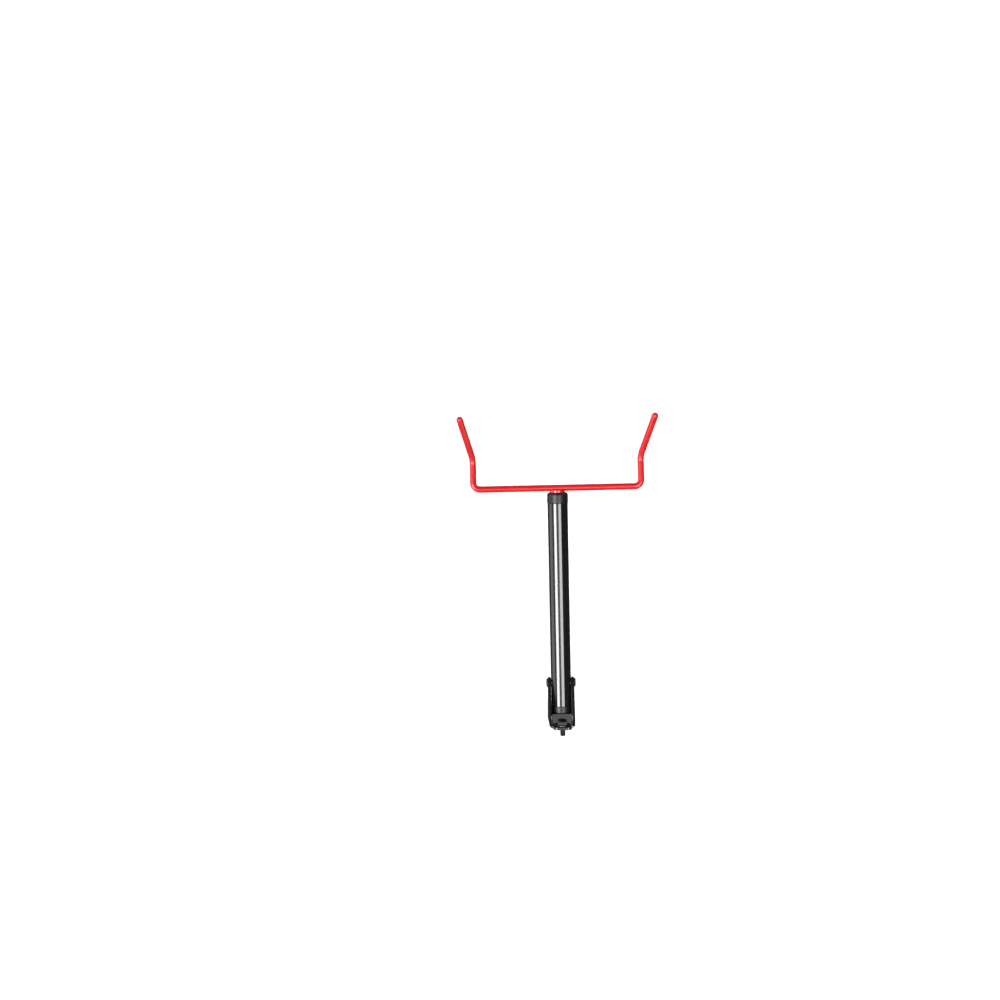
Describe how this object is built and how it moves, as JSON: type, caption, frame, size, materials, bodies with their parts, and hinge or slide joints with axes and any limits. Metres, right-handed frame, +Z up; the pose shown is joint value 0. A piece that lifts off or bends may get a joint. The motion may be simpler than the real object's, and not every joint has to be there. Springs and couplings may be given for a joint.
{
  "type": "bicycle wall rack",
  "caption": "Fold-up bicycle wall rack: a screwed wall bracket, a round arm hinged in it, and a tilting bent-rod cradle that holds the frame's top tube.",
  "frame": {"origin": "centre of the wall bracket's back face, on the wall plane", "axes": "+Y into the wall, square to the bracket's back face; the arm stands out towards -Y; +Z up; X along the wall"},
  "size_m": [0.2926, 0.4735, 0.1527],
  "materials": {
    "black_paint": "gloss powder coat",
    "red_coat": "gloss dip coat on steel",
    "zinc": "bright zinc plate",
    "black_steel": "black oxide",
    "black_plastic": "satin moulded nylon",
    "nylon": "natural nylon"
  },
  "bodies": {
    "bracket": {"wall_bracket": "black_paint", "wall_washer_top": "black_steel", "wall_washer_mid": "black_steel", "wall_washer_low": "black_steel", "wall_screw_top": "black_steel", "wall_screw_mid": "black_steel", "wall_screw_low": "black_steel", "hinge_barrel": "black_steel", "hinge_screw": "black_steel", "friction_washer_left": "black_plastic", "friction_washer_right": "black_plastic"},
    "arm": {"arm_tube": "black_paint", "hinge_sleeve": "black_paint", "tail_cap": "black_plastic", "front_bush": "black_plastic", "rear_bush": "nylon"},
    "cradle": {"cradle_rod": "red_coat", "cradle_stem": "red_coat", "lock_nut": "zinc", "saddle_washer": "black_plastic", "lock_screw": "black_steel"}
  },
  "joints": [
    {"name": "arm_fold", "type": "hinge", "parent": "bracket", "child": "arm", "pos_m": [0, -0.066, 0.017], "axis": [-1, 0, 0], "range_deg": [0, 86]},
    {"name": "cradle_tilt", "type": "hinge", "parent": "arm", "child": "cradle", "pos_m": [0, -0.066, 0.017], "axis": [0, -0.9976, 0.0698], "range_deg": [-20, 20]}
  ]
}
